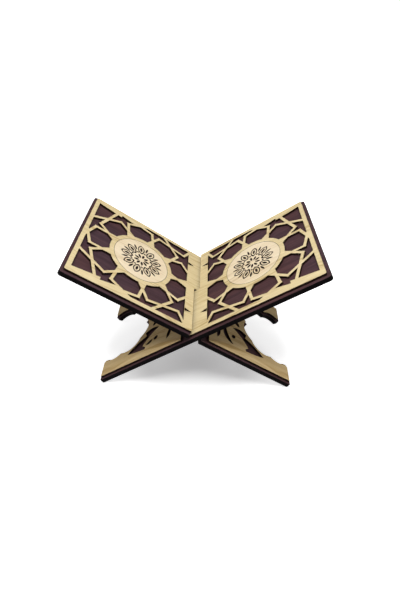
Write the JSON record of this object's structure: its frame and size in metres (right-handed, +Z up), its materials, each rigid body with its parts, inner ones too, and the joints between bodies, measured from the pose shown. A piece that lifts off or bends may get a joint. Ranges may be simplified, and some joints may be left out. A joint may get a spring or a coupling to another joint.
{
  "type": "quran stand",
  "caption": "Folding X-shaped book stand: two slotted boards that cross at mid width, with light fretwork panels, round medallions and scalloped legs.",
  "frame": {"origin": "middle of the footprint, on the floor under the fold axis", "axes": "+X across the open stand, +Y from the reader's side to the back, +Z up"},
  "size_m": [0.3686, 0.22, 0.231],
  "materials": {
    "dark_wood": "dark walnut stain, satin",
    "light_wood": "pale straight-grained veneer, satin",
    "pale_wood": "pale veneer with dark engraved lines, satin"
  },
  "bodies": {
    "plank_a": {"board_a": "dark_wood", "panel_fret_a": "light_wood", "medallion_a": "pale_wood", "leg_fret_a": "light_wood"},
    "plank_b": {"board_b": "dark_wood", "panel_fret_b": "light_wood", "medallion_b": "pale_wood", "leg_fret_b": "light_wood"}
  },
  "joints": [
    {"name": "fold", "type": "hinge", "parent": "plank_a", "child": "plank_b", "pos_m": [0, 0, 0.10877], "axis": [0, -1, 0], "range_deg": [0, 46]}
  ]
}
